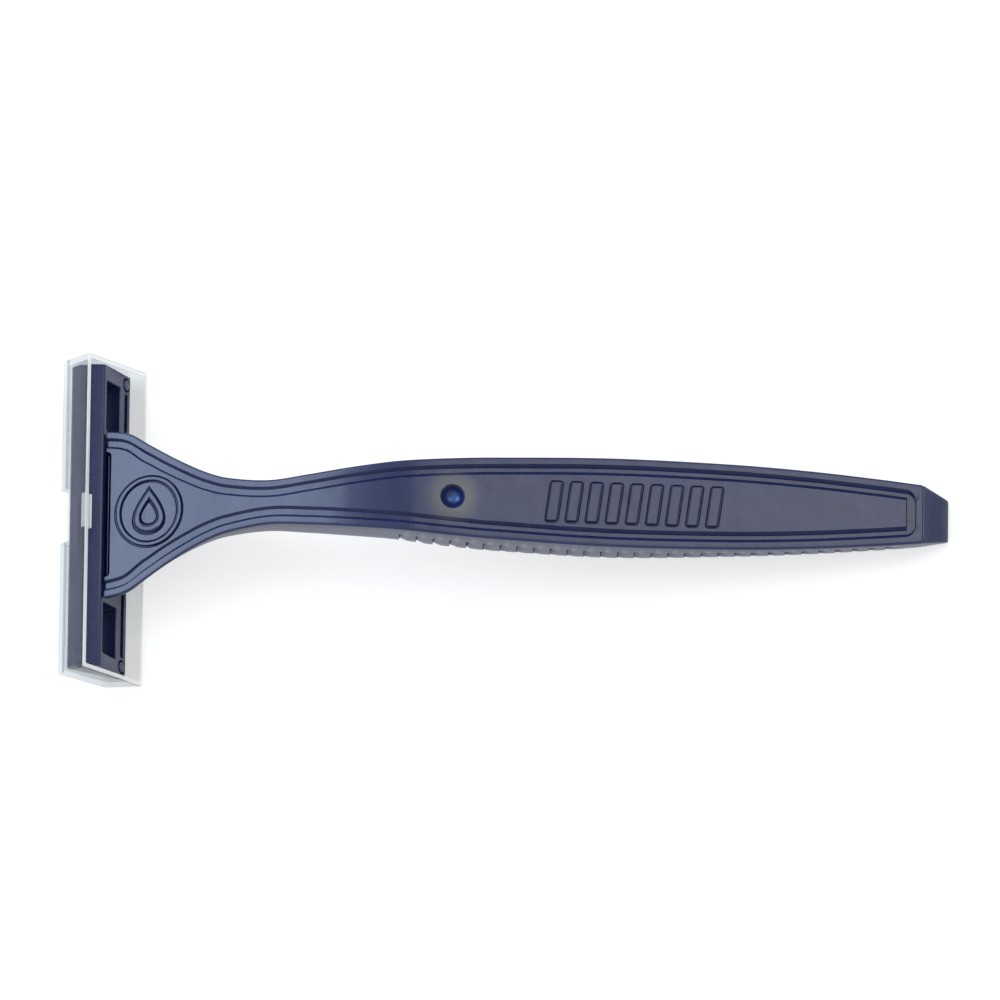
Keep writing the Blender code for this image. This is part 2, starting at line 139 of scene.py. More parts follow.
# The outline moved inwards by depth
def inset(outline, depth):
    area = 0.0
    for i in range(len(outline)):
        x0, z0 = outline[i - 1]
        x1, z1 = outline[i]
        area += x0 * z1 - x1 * z0
    inward = 1 if area > 0 else -1
    made = []
    count = len(outline)
    for i in range(count):
        x0, z0 = outline[i - 1]
        x1, z1 = outline[i]
        x2, z2 = outline[(i + 1) % count]
        n1 = Vector((-(z1 - z0), x1 - x0)).normalized()
        n2 = Vector((-(z2 - z1), x2 - x1)).normalized()
        normal = (n1 + n2).normalized()
        stretch = 1 / max(normal.dot(n1), 0.5)
        made.append((x1 + normal.x * depth * inward * stretch,
                     z1 + normal.y * depth * inward * stretch))
    return made


# Rings of razor-frame points joined by quads. Not closed, both ends are filled,
# the last one round the tip point if there is one
def meshFromRings(name, rings, closed=False, tip=None):
    bm = bmesh.new()
    rows = [[bm.verts.new(place(*point)) for point in ring] for ring in rings]
    pairs = list(zip(rows, rows[1:]))
    if closed:
        pairs.append((rows[-1], rows[0]))
    count = len(rows[0])
    for first, second in pairs:
        for i in range(count):
            j = (i + 1) % count
            bm.faces.new((first[i], first[j], second[j], second[i]))
    if not closed:
        bm.faces.new(rows[0])
        if tip:
            middle = bm.verts.new(place(*tip))
            for i in range(count):
                bm.faces.new((rows[-1][i], rows[-1][(i + 1) % count], middle))
        else:
            bm.faces.new(rows[-1])
    bmesh.ops.recalc_face_normals(bm, faces=bm.faces)
    mesh = bpy.data.meshes.new(name)
    bm.to_mesh(mesh)
    bm.free()
    return mesh


# Rings of a bar along y whose two ends are rounded off by edge
def barRings(outline, yFrom, yTo, edge=0.0, steps=3):
    if edge <= 0:
        return [[(x, y, z) for x, z in outline] for y in (yFrom, yTo)]
    rings = []
    for y, inwards in ((yFrom, 1), (yTo, -1)):
        part = []
        for k in range(steps + 1):
            angle = k / steps * pi / 2
            shape = inset(outline, edge * (1 - sin(angle)))
            part.append([(x, y + inwards * edge * (1 - cos(angle)), z) for x, z in shape])
        rings += part if inwards == 1 else part[::-1]
    return rings


def addPiece(name, mesh):
    made = bpy.data.objects.new(name, mesh)
    bpy.context.scene.collection.objects.link(made)
    return made


# Boolean with a throw-away tool
def carve(piece, mesh, operation="DIFFERENCE"):
    tool = addPiece("tool", mesh)
    step = piece.modifiers.new("carve", "BOOLEAN")
    step.object = tool
    step.operation = operation
    step.solver = "EXACT"
    settle(piece)
    bpy.data.objects.remove(tool)
    bpy.data.meshes.remove(mesh)


# Applies the piece's modifiers
def settle(piece):
    ready = piece.evaluated_get(bpy.context.evaluated_depsgraph_get())
    mesh = bpy.data.meshes.new_from_object(ready)
    old = piece.data
    piece.modifiers.clear()
    piece.data = mesh
    mesh.name = piece.name
    bpy.data.meshes.remove(old)


def softenEdges(piece, width, degrees):
    step = piece.modifiers.new("soften", "BEVEL")
    step.width = width * millimetre
    step.segments = 2
    step.limit_method = "ANGLE"
    step.angle_limit = radians(degrees)
    step.use_clamp_overlap = True
    settle(piece)


def shade(piece, degrees):
    piece.data.shade_smooth()
    piece.data.set_sharp_from_angle(angle=radians(degrees))


def dress(piece, finish, body, slot, *nodes):
    piece.data.materials.clear()
    piece.data.materials.append(finish)
    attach(piece, body)
    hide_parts(*nodes)


def startMaterial(name):
    material = bpy.data.materials.new(name)
    material.use_nodes = True
    tree = material.node_tree
    return material, tree, tree.nodes["Principled BSDF"]


def addNode(tree, kind, **values):
    node = tree.nodes.new(kind)
    for key, value in values.items():
        if key in node.inputs:
            node.inputs[key].default_value = value
        else:
            setattr(node, key, value)
    return node


# Node of a kind whose first inputs come from sockets or plain values
def feed(tree, kind, *sources, **values):
    node = addNode(tree, kind, **values)
    for i, source in enumerate(sources):
        if isinstance(source, bpy.types.NodeSocket):
            tree.links.new(source, node.inputs[i])
        else:
            node.inputs[i].default_value = source
    return node


# Colour between two colours or colour sockets
def blend(tree, share, first, second):
    node = feed(tree, "ShaderNodeMix", share, data_type="RGBA")
    for index, colour in ((6, first), (7, second)):
        if isinstance(colour, bpy.types.NodeSocket):
            tree.links.new(colour, node.inputs[index])
        else:
            node.inputs[index].default_value = (*colour, 1)
    return node.outputs[2]


# Value that falls from most to nothing as the distance from a point grows
def fadeFrom(tree, where, point, near, far, most):
    reach = feed(tree, "ShaderNodeVectorMath", where, point, operation="DISTANCE")
    return feed(tree, "ShaderNodeMapRange", reach.outputs["Value"], near * millimetre,
                far * millimetre, most, 0.0, interpolation_type="SMOOTHSTEP").outputs["Result"]


# Noise in the object's own space, so that it lies still on the part
def grainFrom(tree, scale, detail=3.0, stretch=(1, 1, 1)):
    where = addNode(tree, "ShaderNodeTexCoord")
    mapping = addNode(tree, "ShaderNodeMapping")
    mapping.inputs["Scale"].default_value = stretch
    noise = addNode(tree, "ShaderNodeTexNoise", Scale=scale, Detail=detail, Roughness=0.6)
    tree.links.new(where.outputs["Object"], mapping.inputs["Vector"])
    tree.links.new(mapping.outputs["Vector"], noise.inputs["Vector"])
    return noise


def ramp(tree, source, stops):
    node = tree.nodes.new("ShaderNodeValToRGB")
    tree.links.new(source, node.inputs["Fac"])
    elements = node.color_ramp.elements
    while len(elements) < len(stops):
        elements.new(0.5)
    for element, (position, colour) in zip(elements, stops):
        element.position = position
        element.color = (*colour, 1)
    return node.outputs["Color"]


noiseRange = (0.3, 0.7)          # where most of the noise's values lie


def spread(tree, source, low, high):
    node = feed(tree, "ShaderNodeMapRange", source, *noiseRange, low, high)
    return node.outputs["Result"]


def bumpFrom(tree, shader, source, distance, under=None):
    bump = addNode(tree, "ShaderNodeBump", Strength=1.0, Distance=distance)
    tree.links.new(source, bump.inputs["Height"])
    if under:
        tree.links.new(under, bump.inputs["Normal"])
    tree.links.new(bump.outputs["Normal"], shader.inputs["Normal"])
    return bump.outputs["Normal"]


navy = {
    "dark": (0.0080, 0.0145, 0.064),
    "light": (0.0105, 0.0190, 0.080),
    "cloud": 420,                # slow drift between the two
    "cloudStops": (0.35, 0.65),
    "roughLow": 0.22,
    "roughHigh": 0.28,
    "grain": 3200,               # moulded skin, about 0.3 mm
    "grainDepth": 0.0000015,
    "ripple": 260,               # slow sink marks
    "rippleDepth": 0.00005,
    "bend": 1.5,
}


def navyPlastic(name, tone=1.0, rough=0.0, depth=1.0):
    material, tree, shader = startMaterial(name)
    cloud = grainFrom(tree, navy["cloud"], 4)
    shades = [[c * tone for c in navy[shade]] for shade in ("dark", "light")]
    tree.links.new(ramp(tree, cloud.outputs["Fac"], list(zip(navy["cloudStops"], shades))),
                   shader.inputs["Base Color"])
    skin = grainFrom(tree, navy["grain"], 2)
    tree.links.new(spread(tree, skin.outputs["Fac"], navy["roughLow"] + rough,
                          navy["roughHigh"] + rough), shader.inputs["Roughness"])
    waves = grainFrom(tree, navy["ripple"], 1)
    slow = bumpFrom(tree, shader, waves.outputs["Fac"], navy["rippleDepth"] * depth)
    bumpFrom(tree, shader, skin.outputs["Fac"], navy["grainDepth"] * depth, under=slow)
    shader.inputs["IOR"].default_value = navy["bend"]
    return material


# Colour round the place where the plastic was let into the mould, partly its real blush and partly
# painted highlight, shade and glint:
# centre, full within, none beyond, colour
gate = {
    # pale blush round the gate, partly a painted highlight where the face curves
    "blushAndSheen": ((47.9, 0.0, 9.0), 1.7, 4.4, (0.078, 0.080, 0.094)),
    # painted shade and blue sheen of the dimple's glossy hollow
    "deep": ((47.9, 0.0, 7.45), 1.62, 2.0, (0.004, 0.012, 0.110)),
    # painted glint at the bottom of the dimple
    "glint": ((48.1, 0.15, 7.45), 0.1, 0.95, (0.010, 0.130, 0.480)),
    "most": 0.9,
}


# Pale blush of the plastic round its gate with a painted highlight in it, painted shade and blue sheen
# in the dimple, and a painted glint at its bottom
def paintGateBlushAndLight(material):
    tree = material.node_tree
    shader = tree.nodes["Principled BSDF"]
    where = addNode(tree, "ShaderNodeTexCoord").outputs["Object"]
    plain = shader.inputs["Base Color"].links[0].from_socket
    for spot in ("blushAndSheen", "deep", "glint"):
        at, near, far, colour = gate[spot]
        fade = fadeFrom(tree, where, place(*at), near, far, gate["most"])
        plain = blend(tree, fade, plain, colour)
    tree.links.new(plain, shader.inputs["Base Color"])


steel = {
    "colour": (0.56, 0.57, 0.60),
    "darkest": 0.85,
    "streaks": (9000, 90, 9000),  # grinding lines run along the edge
    "streakDepth": 0.000004,
    "rough": (0.18, 0.34),
}


def bladeSteel(name):
    material, tree, shader = startMaterial(name)
    shader.inputs["Metallic"].default_value = 1.0
    lines = grainFrom(tree, 1.0, 3, steel["streaks"])
    dark = [c * steel["darkest"] for c in steel["colour"]]
    shades = list(zip(noiseRange, (dark, steel["colour"])))
    tree.links.new(ramp(tree, lines.outputs["Fac"], shades), shader.inputs["Base Color"])
    tree.links.new(spread(tree, lines.outputs["Fac"], *steel["rough"]), shader.inputs["Roughness"])
    bumpFrom(tree, shader, lines.outputs["Fac"], steel["streakDepth"])
    return material


clear = {
    "tint": (0.975, 0.98, 0.985),
    "bend": 1.36,
    "rough": 0.03,
    "flow": 330,                 # slow waves, drawn out along the guard
    "flowStretch": (1, 0.25, 1),
    "flowDepth": 0.00003,
    "glossBend": 1.45,
    "glossRough": 0.06,
    "straight": 0.97,            # share of the light that goes straight through
    # what each skin lets the eye see, from straight on to edge on; the dark end is partly the real
    # loss through a slanting skin and partly painted grey shade lines along the folds
    "veil": [(0.0, (0.84, 0.85, 0.845)), (0.4, (0.90, 0.91, 0.912)),
             (0.8, (0.76, 0.78, 0.79)), (1.0, (0.40, 0.42, 0.45))],
    "foldAt": (-2.95, -3.50),    # where a painted darker line stands for the fold's thick root
    "foldReach": (0.20, 0.34),
    # painted shade of that line
    "foldShadeLine": (0.52, 0.58, 0.62),
    "shade": (0.94, 0.95, 0.955),  # what each skin lets the lamps through
    # white of the painted highlight lines on the cut edges and the catch
    "highlightWhite": (0.95, 0.95, 0.95),
    "rim": 0.75,                 # how strong the painted white highlight on the cut edges of the open side is
    "rimDeep": (0.12, 0.048),    # none below the first depth, all above the second
    "catchHighlight": 0.35,          # the catch gets a little painted white highlight too
    "catchDeep": 0.9,
}


guard = {
    "ridge": (-0.30, 0.0),
    "brow": lie["brow"],
    "keel": lie["keel"],
    "heel": (7.40, -10.24),
    "wall": 0.60,
    "heelWall": 0.40,
    "half": 21.35,
    "endWall": 0.60,
    "bend": 0.55,                # outer radius of its folds
    "endRound": 0.30,
    "windowHalf": 3.65,
    "windowDepth": 2.40,         # over the top leg
    "windowDrop": 1.55,          # down the front wall
    "catchHalf": 2.30,
    "catchDepth": 0.72,
    "catchStart": 0.35,
    "catchLength": 1.40,
    "catchSlope": (0.45, 0.62),  # along the leg, and down, to where its back ramp ends
    "foldInside": 0.22,
    "beyond": 5.0,               # how far the hollow's tool goes past both legs
    "farCorner": (14, 4),
    "soft": 0.06,
}


# Square to the guard's open side, away from the guard
def openingDirection():
    x = guard["heel"][0] - guard["ridge"][0]
    z = guard["heel"][1] - guard["ridge"][1]
    a, c = turned(-z, x)
    return Vector((a, 0, c)).normalized()


# What each skin lets through, with a painted darker line at the root of the fold
def veilColour(tree, where):
    flat = feed(tree, "ShaderNodeVectorMath", where, (1, 0, 1), operation="MULTIPLY")
    fold = place(clear["foldAt"][0], 0, clear["foldAt"][1])
    near = fadeFrom(tree, flat.outputs["Vector"], fold, *clear["foldReach"], 1.0)
    angle = addNode(tree, "ShaderNodeLayerWeight").outputs["Facing"]
    return blend(tree, near, ramp(tree, angle, clear["veil"]), clear["foldShadeLine"])


# Share of painted white highlight on the cut edges and on the catch
def highlightShare(tree, where):
    outwards = openingDirection()
    edge = place(guard["ridge"][0], 0, guard["ridge"][1]).dot(outwards)
    opening = feed(tree, "ShaderNodeVectorMath", where, outwards, operation="DOT_PRODUCT")
    opening = opening.outputs["Value"]
    low, high = [edge - deep * millimetre for deep in clear["rimDeep"]]
    rim = feed(tree, "ShaderNodeMapRange", opening, low, high, 0.0, clear["rim"])
    across = feed(tree, "ShaderNodeSeparateXYZ", where).outputs["Y"]
    middle = feed(tree, "ShaderNodeMath", across, 0, guard["catchHalf"] * millimetre,
                  operation="COMPARE")
    back = feed(tree, "ShaderNodeMath", opening, edge - clear["catchDeep"] * millimetre,
                operation="GREATER_THAN")
    catch = feed(tree, "ShaderNodeMath", middle.outputs["Value"], back.outputs["Value"],
                 operation="MULTIPLY")
    faint = feed(tree, "ShaderNodeMath", catch.outputs["Value"], clear["catchHighlight"],
                 operation="MULTIPLY")
    return feed(tree, "ShaderNodeMath", rim.outputs["Result"], faint.outputs["Value"],
                operation="MAXIMUM").outputs["Value"]


def mixShaders(tree, share, first, second):
    return feed(tree, "ShaderNodeMixShader", share, first, second).outputs["Shader"]


# Clear moulding that lets the lamps through to what it covers
def clearPlastic(name):
    material, tree, shader = startMaterial(name)
    shader.inputs["Base Color"].default_value = (*clear["tint"], 1)
    shader.inputs["Roughness"].default_value = clear["rough"]
    shader.inputs["IOR"].default_value = clear["bend"]
    shader.inputs["Transmission Weight"].default_value = 1.0
    flow = grainFrom(tree, clear["flow"], 1, clear["flowStretch"])
    flowing = bumpFrom(tree, shader, flow.outputs["Fac"], clear["flowDepth"])
    where = addNode(tree, "ShaderNodeTexCoord").outputs["Object"]
    shadow = addNode(tree, "ShaderNodeLightPath").outputs["Is Shadow Ray"]

    colour = blend(tree, shadow, veilColour(tree, where), clear["shade"])
    passing = feed(tree, "ShaderNodeBsdfTransparent", colour)
    share = feed(tree, "ShaderNodeMath", shadow, clear["straight"], operation="MAXIMUM")
    body = mixShaders(tree, share.outputs["Value"], shader.outputs["BSDF"],
                      passing.outputs["BSDF"])

    # only the outer side of each skin shines, and never to a shadow ray
    shine = addNode(tree, "ShaderNodeFresnel", IOR=clear["glossBend"])
    tree.links.new(flowing, shine.inputs["Normal"])
    inside = addNode(tree, "ShaderNodeNewGeometry").outputs["Backfacing"]
    unlit = feed(tree, "ShaderNodeMath", shadow, inside, operation="MAXIMUM")
    lit = feed(tree, "ShaderNodeMath", shine.outputs["Fac"], unlit.outputs["Value"],
               operation="SUBTRACT", use_clamp=True)
    gloss = addNode(tree, "ShaderNodeBsdfAnisotropic", Roughness=clear["glossRough"])
    tree.links.new(flowing, gloss.inputs["Normal"])
    skin = mixShaders(tree, lit.outputs["Value"], body, gloss.outputs["BSDF"])

    # white diffuse that paints the highlight lines
    highlightWhite = addNode(tree, "ShaderNodeBsdfDiffuse", Color=(*clear["highlightWhite"], 1))
    whole = mixShaders(tree, highlightShare(tree, where), skin, highlightWhite.outputs["BSDF"])
    tree.links.new(whole, tree.nodes["Material Output"].inputs["Surface"])
    return material


handlePlastic = navyPlastic("handle_plastic")
paintGateBlushAndLight(handlePlastic)
seatPlastic = navyPlastic("seat_plastic", tone=0.9, rough=0.04)
capPlastic = navyPlastic("cap_plastic", rough=-0.02, depth=0.6)
spacerPlastic = navyPlastic("spacer_plastic", tone=0.6, rough=0.1)
bladeMetal = bladeSteel("blade_steel")
guardPlastic = clearPlastic("guard_clear")
print("finishes ready")


head = {
    "topBack": (1.88, -2.76),
    "lean": radians(25.8),
    "half": 20.5,
    "depth": 7.65,
    "thick": 2.20,
    "shaveTop": 4.78,            # shaving plane: v = shaveTop - shaveSlope * u
    "shaveSlope": 0.395,
    "backRound": 0.42,           # soft top edge of the seat
    "endRound": 0.05,
    "gap": 0.10,
    "blade": 0.10,
    "spacer": 0.40,
    "bladeHalf": 18.5,
    "bladeBack": -0.60,
    "spacerShort": 0.7,          # how far the spacer stays behind the upper edge
}


def stackPoint(u, v):
    x = head["topBack"][0] + u * sin(head["lean"]) - v * cos(head["lean"])
    z = head["topBack"][1] - u * cos(head["lean"]) - v * sin(head["lean"])
    return x, z


def shaveLevel(u):
    return head["shaveTop"] - head["shaveSlope"] * u


def stackOutline(points):
    return [stackPoint(u, v) for u, v in points]


def stackBox(u0, u1, v0, v1, y0, y1):
    outline = stackOutline([(u0, v0), (u1, v0), (u1, v1), (u0, v1)])
    return meshFromRings("box", barRings(outline, y0, y1))


# Turned shape square to the blades, through (v, radius) pairs
def stackTurn(u, y, profile, sides=32):
    rings = []
    for v, radius in profile:
        ring = []
        for i in range(sides):
            angle = 2 * pi * i / sides
            x, z = stackPoint(u + radius * cos(angle), v)
            ring.append((x, y + radius * sin(angle), z))
        rings.append(ring)
    return meshFromRings("turned", rings)


seat = {
    "window": (0.70, 4.65),      # along u
    "windowReach": (11.6, 18.5),  # along y
    "windowRound": 0.35,
    "slot": (5.95, 6.85),
    "slotHalf": 17.9,
    "ledge": 18.70,
    "ledgeLevel": 1.30,
    "ledgeTop": 0.40,
    "pinU": 6.40,
    "pinY": 19.2,
    "tenon": (1.9, 4.5),
    "tenonHalf": 7.8,
    "tenonDepth": 0.9,
    "through": 4.2,              # deeper than the seat is thick anywhere
    # (v, radius) down the bore, with the counterbore of the staked end
    "bore": ((-0.5, 1.53), (0.08, 0.95), (0.55, 0.95), (0.56, 0.75), (4.2, 0.75)),
}


# Tool for a hole through the seat with rounded corners and a softened rim
def flaredHole(u0, u1, y0, y1, radius, depth=seat["through"], flare=0.12):
    y0, y1 = min(y0, y1), max(y0, y1)
    corners = roundOff([(u0, y0), (u1, y0), (u1, y1), (u0, y1)], radius, 4)
    rings = []
    for v, out in ((-0.5, 0.5 + flare), (flare, 0.0), (depth, 0.0)):
        ring = []
        for u, y in inset(corners, -out):
            x, z = stackPoint(u, v)
            ring.append((x, y, z))
        rings.append(ring)
    return meshFromRings("hole", rings)


def makeSeat():
    depth = head["depth"]
    slot = seat["slot"]
    thick = head["thick"]
    corners = [(0, 0), (depth, 0), (depth - 0.43, 1.95), (slot[1] - 0.07, 1.95),
               (slot[1] - 0.05, 1.70), (slot[0] - 0.15, 1.70), (slot[0] - 0.45, thick),
               (-thick * tan(head["lean"]), thick)]
    radii = (head["backRound"], 0.25, 0.08, 0.08, 0, 0, 0.1, 0.1)
    outline = roundOff(stackOutline(corners), radii, 4)
    rings = barRings(outline, -head["half"], head["half"], head["endRound"])
    piece = addPiece("seatMoulding", meshFromRings("seat", rings))
    for side in (-1, 1):
        y0, y1 = seat["windowReach"]
        carve(piece, flaredHole(*seat["window"], side * y0, side * y1, seat["windowRound"]))
        inner = side * seat["ledge"]
        outer = side * (head["half"] + 1)
        carve(piece, stackBox(seat["ledgeTop"], depth + 1, seat["ledgeLevel"], seat["through"],
                              inner, outer))
        carve(piece, stackTurn(seat["pinU"], side * seat["pinY"], seat["bore"]))
    half = seat["slotHalf"]
    carve(piece, flaredHole(*slot, -half, half, 0.25, flare=0.08))
    half = seat["tenonHalf"]
    carve(piece, flaredHole(*seat["tenon"], -half, half, 0.3, seat["tenonDepth"], 0.06))
    shade(piece, 32)
    dress(piece, seatPlastic, "razor", "seat_plastic", "blade_seat")


def layerLevels():
    lower = head["thick"] + head["gap"]
    spacer = lower + head["blade"] + head["gap"]
    upper = spacer + head["spacer"] + head["gap"]
    cap = upper + head["blade"] + head["gap"]
    return lower, spacer, upper, cap


locator = {"u": 1.60, "y": 6.0, "radius": 0.60, "clear": 0.30, "end": 0.90, "holeFrom": 1.2}


# Holes for the cap's two locating pins
def punch(piece):
    for side in (-1, 1):
        radius = locator["radius"] + locator["clear"]
        profile = [(locator["holeFrom"], radius), (seat["through"], radius)]
        carve(piece, stackTurn(locator["u"], side * locator["y"], profile))


grind = {"long": 0.62, "short": 0.16, "shortHalf": 0.018, "edgeHalf": 0.002}


# Steel strip with a long grind and a short final bevel on both faces
def makeBlade(name, level, node):
    half = head["blade"] / 2
    middle = level + half
    edge = (head["shaveTop"] - middle) / head["shaveSlope"]
    lower = [(head["bladeBack"], half), (edge - grind["long"], half),
             (edge - grind["short"], grind["shortHalf"]), (edge, grind["edgeHalf"])]
    corners = [(u, middle - v) for u, v in lower] + [(u, middle + v) for u, v in lower[::-1]]
    rings = barRings(stackOutline(corners), -head["bladeHalf"], head["bladeHalf"])
    piece = addPiece(name, meshFromRings(name, rings))
    punch(piece)
    shade(piece, 3)
    dress(piece, bladeMetal, "razor", "blade_steel", node)


def makeSpacer(level, upperEdge):
    back = head["bladeBack"]
    front = upperEdge - head["spacerShort"]
    top = level + head["spacer"]
    corners = stackOutline([(back, level), (front, level), (front, top), (back, top)])
    outline = roundOff(corners, 0.08, 2)
    half = head["bladeHalf"]
    piece = addPiece("spacerStrip", meshFromRings("spacer", barRings(outline, -half, half, 0.1)))
    punch(piece)
    shade(piece, 32)
    dress(piece, spacerPlastic, "razor", "spacer_plastic", "blade_spacer")


cap = {
    "lip": 3.10,
    "crownStart": 0.90,
    "crownCentre": (0.10, 3.80),
    "crownRadius": 0.95,
    "crownFrom": radians(68),
    "crownTo": radians(155),
    "crownSteps": 13,
    "flangeTop": (-1.38, 2.86),
    "flangeBack": (-1.11, 2.30),
    "flangeInner": -0.70,
    "half": 20.4,
    "endRound": 0.03,
    "armClear": 0.15,
    "armEnd": 7.20,
    "pinRadius": 0.45,
    "pinHead": 0.70,
}


def makeCap(level):
    crown = []
    for i in range(cap["crownSteps"] + 1):
        share = i / cap["crownSteps"]
        angle = cap["crownFrom"] + (cap["crownTo"] - cap["crownFrom"]) * share
        crown.append((cap["crownCentre"][0] + cap["crownRadius"] * cos(angle),
                      cap["crownCentre"][1] + cap["crownRadius"] * sin(angle)))
    corners = [(cap["lip"], level), (cap["lip"], shaveLevel(cap["lip"])),
               (cap["crownStart"], shaveLevel(cap["crownStart"]))]
    inner = cap["flangeInner"]
    low = cap["flangeBack"][1]
    flange = [cap["flangeTop"], cap["flangeBack"], (inner, low), (inner, level)]
    points = roundOff(corners + crown + flange,
                      [0.04, 0.15, 0.12] + [0] * len(crown) + [0.14, 0.10, 0, 0], 4)
    rings = barRings(stackOutline(points), -cap["half"], cap["half"], cap["endRound"], 4)
    piece = addPiece("capMoulding", meshFromRings("cap", rings))
    low = seat["ledgeLevel"] + cap["armClear"]
    top = seat["ledgeTop"] + cap["armClear"]
    end = cap["armEnd"]
    arm = [(top, low), (end, low), (end, shaveLevel(end)), (top, shaveLevel(top) - 0.1)]
    arm = roundOff(stackOutline(arm), [0.05, 0.12, 0.15, 0.1], 3)
    for side in (-1, 1):
        ends = sorted((side * (seat["ledge"] + cap["armClear"]), side * (cap["half"] - 0.02)))
        carve(piece, meshFromRings("arm", barRings(arm, *ends, 0.04)), "UNION")
        top = cap["pinHead"]
        profile = [(-0.10, top * 0.45), (-0.095, top * 0.7), (-0.05, top * 0.93), (0.02, top),
                   (0.25, top), (0.26, cap["pinRadius"]), (low + 0.3, cap["pinRadius"])]
        carve(piece, stackTurn(seat["pinU"], side * seat["pinY"], profile), "UNION")
        profile = [(locator["end"], locator["radius"]), (level + 0.3, locator["radius"])]
        carve(piece, stackTurn(locator["u"], side * locator["y"], profile), "UNION")
    shade(piece, 34)
    dress(piece, capPlastic, "razor", "cap_plastic", "blade_cap")


lowerLevel, spacerLevel, upperLevel, capLevel = layerLevels()
makeSeat()
makeBlade("lowerBlade", lowerLevel, "lower_blade")
makeSpacer(spacerLevel, (head["shaveTop"] - upperLevel - head["blade"] / 2) / head["shaveSlope"])
makeBlade("upperBlade", upperLevel, "upper_blade")
makeCap(capLevel)
print("head ready")


def way(start, end):
    return (Vector(end) - Vector(start)).normalized()


def inwardOf(direction):
    return Vector((-direction.y, direction.x))


# Where the line through p along d crosses the line through q along e
def meet(p, d, q, e):
    det = e.x * d.y - d.x * e.y
    s = ((q.x - p.x) * -e.y + e.x * (q.y - p.y)) / det
    return p + d * s


def guardHollow():
    down = way(guard["ridge"], guard["brow"])
    front = way(guard["brow"], guard["keel"])
    out = way(guard["keel"], guard["heel"])
    top = Vector(guard["ridge"]) + inwardOf(down) * guard["wall"]
    face = Vector(guard["brow"]) + inwardOf(front) * guard["wall"]
    lowStart = Vector(guard["keel"]) + inwardOf(out) * guard["wall"]
    lowEnd = Vector(guard["heel"]) + inwardOf(out) * guard["heelWall"]
    low = (lowEnd - lowStart).normalized()
    brow = meet(top, down, face, front)
    keel = meet(face, front, lowStart, low)
    beyond = guard["beyond"]
    inside = guard["foldInside"]
    corners = [top - down * beyond, brow, keel, lowEnd + low * beyond, guard["farCorner"]]
    return roundOff([tuple(c) for c in corners], [0, inside, inside, 0, 0], 5)


def makeGuard():
    corners = [guard["ridge"], guard["brow"], guard["keel"], guard["heel"]]
    bend = guard["bend"]
    outline = roundOff(corners, [0.10, bend, bend, 0.10], 6)
    half = guard["half"]
    rings = barRings(outline, -half, half, guard["endRound"], 4)
    piece = addPiece("guardShell", meshFromRings("guard", rings))
    inside = half - guard["endWall"]
    carve(piece, meshFromRings("hollow", barRings(guardHollow(), -inside, inside, 0.2, 3)))

    leg = way(guard["ridge"], guard["brow"])
    inward = inwardOf(leg)
    start = Vector(guard["ridge"]) + leg * guard["catchStart"] + inward * guard["wall"] / 2
    stop = start + leg * guard["catchLength"]
    deep = guard["wall"] / 2 + guard["catchDepth"]
    along, down = guard["catchSlope"]
    corners = [start, stop, stop + inward * (deep * down), start + leg * along + inward * deep,
               start + inward * deep]
    catchShape = roundOff([tuple(c) for c in corners], [0, 0, 0.12, 0.1, 0.1], 3)
    reach = guard["catchHalf"]
    carve(piece, meshFromRings("catch", barRings(catchShape, -reach, reach, 0.1, 2)), "UNION")

    front = way(guard["brow"], guard["keel"])
    brow = Vector(guard["brow"])
    wall = guard["wall"]
    legEnd = brow - leg * guard["windowDepth"] - inward
    frontEnd = brow + front * guard["windowDrop"] - leg * 2 * wall
    corners = [legEnd, legEnd + inward * (1 + 2 * wall), frontEnd,
               frontEnd + leg * (2 * wall + 1), brow + leg - inward]
    reach = guard["windowHalf"]
    window = barRings([tuple(c) for c in corners], -reach, reach)
    carve(piece, meshFromRings("window", window))
    softenEdges(piece, guard["soft"], 50)
    shade(piece, 30)
    dress(piece, guardPlastic, "guard", "guard_clear", "blade_guard")


makeGuard()
print("guard ready")


